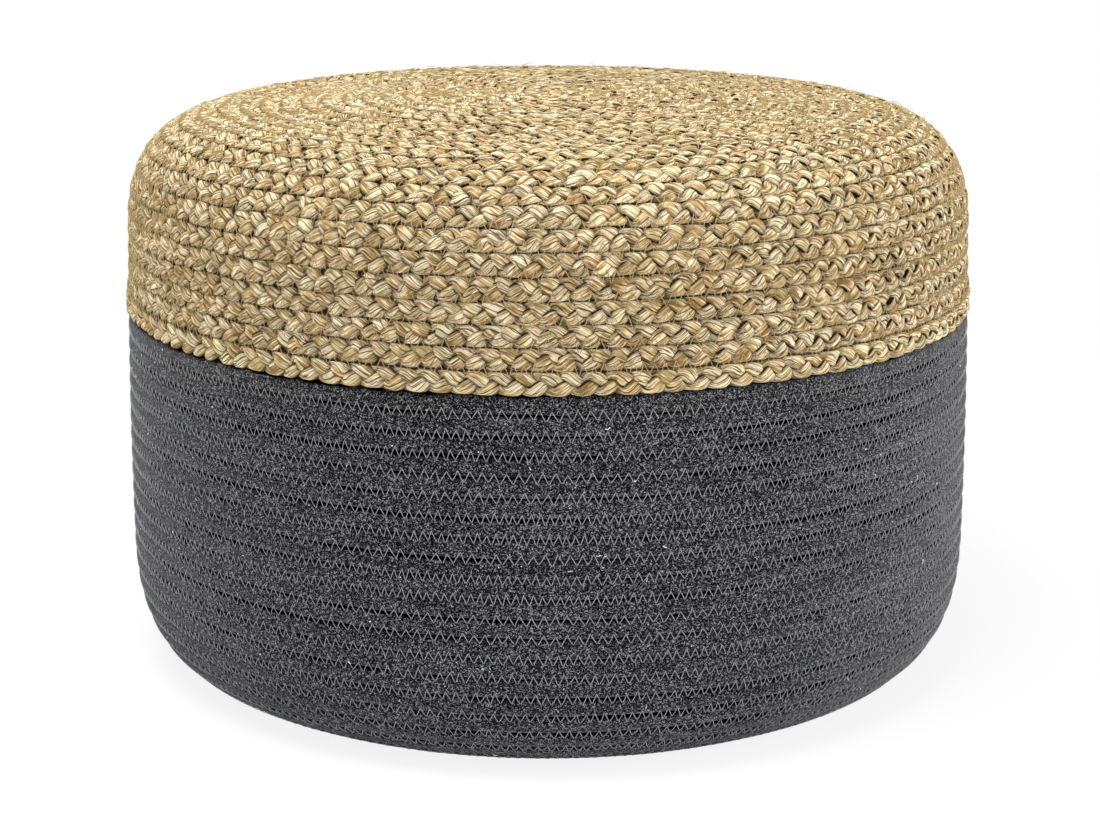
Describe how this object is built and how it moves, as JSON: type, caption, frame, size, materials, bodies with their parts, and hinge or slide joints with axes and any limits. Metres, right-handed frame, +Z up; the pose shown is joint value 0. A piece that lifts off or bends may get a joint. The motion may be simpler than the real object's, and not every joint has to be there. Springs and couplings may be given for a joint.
{
  "type": "pouf stool",
  "caption": "Round drum-shaped floor stool: a coiled cotton rope basket and a coiled straw braid cap, closed by a braid hem, over a cloth bag with a firm core.",
  "frame": {"origin": "middle of the base, on the surface that the stool stands on", "axes": "+Z up along the axis of the drum, -Y towards the front, where the picture looks from"},
  "size_m": [0.508, 0.508, 0.3365],
  "materials": {
    "straw_braid": "matte",
    "hem_braid": "matte",
    "cotton_rope": "matte",
    "bag_cloth": "matte",
    "core_foam": "matte"
  },
  "bodies": {
    "root": {"braid_cap": "straw_braid", "hem_braid": "hem_braid", "rope_wall": "cotton_rope", "rope_floor": "cotton_rope", "bag_top": "bag_cloth", "bag_side": "bag_cloth", "bag_floor": "bag_cloth", "firm_core": "core_foam"}
  },
  "joints": []
}
